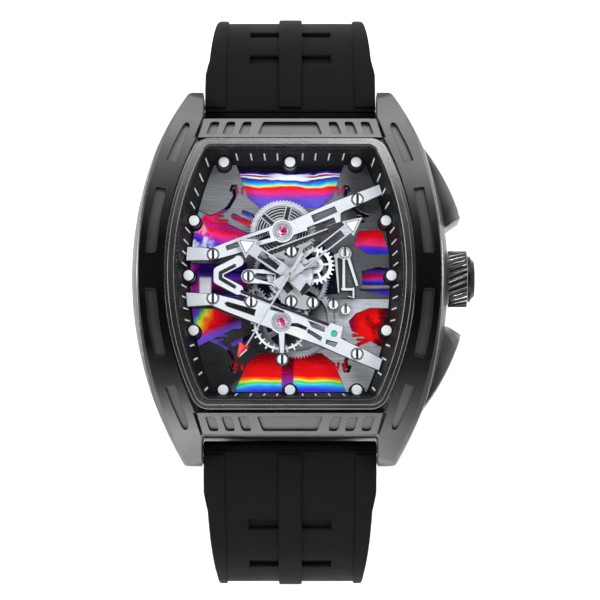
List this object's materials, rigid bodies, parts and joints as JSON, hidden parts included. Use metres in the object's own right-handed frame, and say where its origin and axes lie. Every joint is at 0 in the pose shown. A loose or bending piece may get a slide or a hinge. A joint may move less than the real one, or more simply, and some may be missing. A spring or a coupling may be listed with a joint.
{
  "type": "open-worked wristwatch",
  "caption": "Barrel-shaped wristwatch with an open-worked dial, curved black case with side rails, crown and two pushers, and a ribbed rubber strap with a pin buckle.",
  "frame": {"origin": "centre of the outer face of the case back", "axes": "+Z out of the dial, +Y towards 12 o'clock, +X towards the crown at 3 o'clock"},
  "size_m": [0.0476, 0.0832, 0.0593],
  "materials": {
    "gunmetal": "satin, blackened",
    "black_metal": "satin black coating",
    "grey_metal": "brushed, grey coating",
    "steel": "polished",
    "seal_rubber": "matt",
    "strap_rubber": "matt",
    "sapphire": "polished, clear",
    "white_print": "matt white",
    "black_plastic": "gloss",
    "film": "iridescent bands of colour",
    "plate_grey": "brushed, plated",
    "bridge_white": "brushed, bright plated",
    "gilt": "gilt",
    "blue_steel": "blued",
    "ruby": "polished",
    "hand_silver": "bright, fine brushed"
  },
  "bodies": {
    "case": {"mid_case": "gunmetal", "case_back": "gunmetal", "case_back_screws": "steel", "case_back_gasket": "seal_rubber", "back_crystal": "sapphire", "left_rail": "black_metal", "right_rail": "black_metal", "end_plate_12": "grey_metal", "end_plate_6": "grey_metal", "bezel": "grey_metal", "crystal": "sapphire", "crystal_gasket": "seal_rubber", "chapter_ring": "black_metal", "minute_ticks": "white_print", "hour_studs": "black_plastic", "lume_dots": "white_print", "crown_tube": "steel", "movement_ring": "black_metal", "film_plate": "film", "main_plate": "plate_grey", "balance_cock": "bridge_white", "barrel_bridge": "bridge_white", "balance_bridge": "bridge_white", "train_bridge": "bridge_white", "chevron_bridge": "bridge_white", "setting_spring": "steel", "bridge_screws": "steel", "jewels": "ruby", "automatic_bridge": "plate_grey", "rotor_bearing": "steel", "spring_bars": "steel"},
    "crown": {"crown": "black_metal", "winding_stem": "steel", "crown_gasket": "seal_rubber"},
    "yoke": {"setting_yoke": "steel"},
    "pusher_2": {"pusher_2": "gunmetal"},
    "pusher_4": {"pusher_4": "gunmetal"},
    "seconds": {"fourth_wheel": "gilt", "seconds_hand": "hand_silver"},
    "minutes": {"centre_wheel": "gilt", "minute_hand": "hand_silver"},
    "hours": {"hour_wheel": "bridge_white", "hour_hand": "hand_silver"},
    "third_wheel": {"third_wheel": "steel"},
    "minute_wheel": {"minute_wheel": "steel"},
    "escape_wheel": {"escape_wheel": "gilt"},
    "pallet_fork": {"pallet_fork": "steel"},
    "barrel": {"barrel": "steel", "mainspring": "steel"},
    "balance": {"balance_wheel": "gilt", "hairspring": "blue_steel"},
    "rotor": {"rotor": "steel"},
    "strap_12": {"strap_12": "strap_rubber", "fixed_keeper": "strap_rubber"},
    "strap_6": {"strap_6": "strap_rubber"},
    "buckle": {"buckle_frame": "gunmetal", "buckle_bar": "steel"},
    "tongue": {"buckle_tongue": "gunmetal"},
    "sliding_keeper": {"sliding_keeper": "strap_rubber"}
  },
  "joints": [
    {"name": "seconds_spin", "type": "hinge", "parent": "case", "child": "seconds", "pos_m": [0, 0, 0.008], "axis": [0, 0, -1], "continuous": true},
    {"name": "minute_spin", "type": "hinge", "parent": "case", "child": "minutes", "pos_m": [0, 0, 0.008], "axis": [0, 0, -1], "continuous": true},
    {"name": "hour_spin", "type": "hinge", "parent": "case", "child": "hours", "pos_m": [0, 0, 0.008], "axis": [0, 0, -1], "continuous": true},
    {"name": "third_spin", "type": "hinge", "parent": "case", "child": "third_wheel", "pos_m": [0.0009, -0.00595, 0.008], "axis": [0, 0, -1], "continuous": true},
    {"name": "minute_wheel_spin", "type": "hinge", "parent": "case", "child": "minute_wheel", "pos_m": [0.00347, 0.00153, 0.008], "axis": [0, 0, -1], "continuous": true},
    {"name": "escape_spin", "type": "hinge", "parent": "case", "child": "escape_wheel", "pos_m": [-0.00483, -0.00302, 0.008], "axis": [0, 0, -1], "continuous": true},
    {"name": "barrel_spin", "type": "hinge", "parent": "case", "child": "barrel", "pos_m": [-0.00104, 0.00625, 0.008], "axis": [0, 0, -1], "continuous": true},
    {"name": "pallet_rock", "type": "hinge", "parent": "case", "child": "pallet_fork", "pos_m": [-0.00349, -0.0043, 0.0089], "axis": [0, 0, 1], "range_deg": [-5, 5]},
    {"name": "balance_swing", "type": "hinge", "parent": "case", "child": "balance", "pos_m": [-0.00118, -0.0065, 0.0091], "axis": [0, 0, 1], "range_deg": [-140, 140], "stiffness_Nm_per_rad": 0.000002},
    {"name": "rotor_spin", "type": "hinge", "parent": "case", "child": "rotor", "pos_m": [0, 0, 0.0025], "axis": [0, 0, 1], "continuous": true},
    {"name": "crown_pull", "type": "slide", "parent": "case", "child": "yoke", "axis": [1, 0, 0], "range_m": [0, 0.0012]},
    {"name": "crown_spin", "type": "hinge", "parent": "yoke", "child": "crown", "pos_m": [0.022, 0, 0.0065], "axis": [1, 0, 0], "continuous": true},
    {"name": "pusher_2_press", "type": "slide", "parent": "case", "child": "pusher_2", "axis": [-1, 0, 0], "range_m": [0, 0.0008], "stiffness_N_per_m": 400, "springref_m": -0.0005},
    {"name": "pusher_4_press", "type": "slide", "parent": "case", "child": "pusher_4", "axis": [-1, 0, 0], "range_m": [0, 0.0008], "stiffness_N_per_m": 400, "springref_m": -0.0005},
    {"name": "strap_12_swing", "type": "hinge", "parent": "case", "child": "strap_12", "pos_m": [0, 0.024, 0.0039], "axis": [1, 0, 0], "range_deg": [0, 35]},
    {"name": "strap_6_swing", "type": "hinge", "parent": "case", "child": "strap_6", "pos_m": [0, -0.024, 0.0039], "axis": [-1, 0, 0], "range_deg": [0, 35]},
    {"name": "buckle_swing", "type": "hinge", "parent": "strap_12", "child": "buckle", "pos_m": [0, 0.0088, -0.0421], "axis": [-1, 0, 0], "range_deg": [-70, 40]},
    {"name": "tongue_swing", "type": "hinge", "parent": "buckle", "child": "tongue", "pos_m": [0, 0.0088, -0.0421], "axis": [-1, 0, 0], "range_deg": [0, 45]},
    {"name": "keeper_slide", "type": "hinge", "parent": "strap_12", "child": "sliding_keeper", "pos_m": [0, 0.0128, -0.0151], "axis": [1, 0, 0], "range_deg": [-5, 12]}
  ],
  "couplings": [
    {"joint": "minute_spin", "follows": "seconds_spin", "ratio": 0.016667},
    {"joint": "hour_spin", "follows": "seconds_spin", "ratio": 0.0013889},
    {"joint": "third_spin", "follows": "seconds_spin", "ratio": -0.13333},
    {"joint": "minute_wheel_spin", "follows": "seconds_spin", "ratio": -0.0076923},
    {"joint": "escape_spin", "follows": "seconds_spin", "ratio": -10},
    {"joint": "barrel_spin", "follows": "seconds_spin", "ratio": -0.0066667}
  ]
}
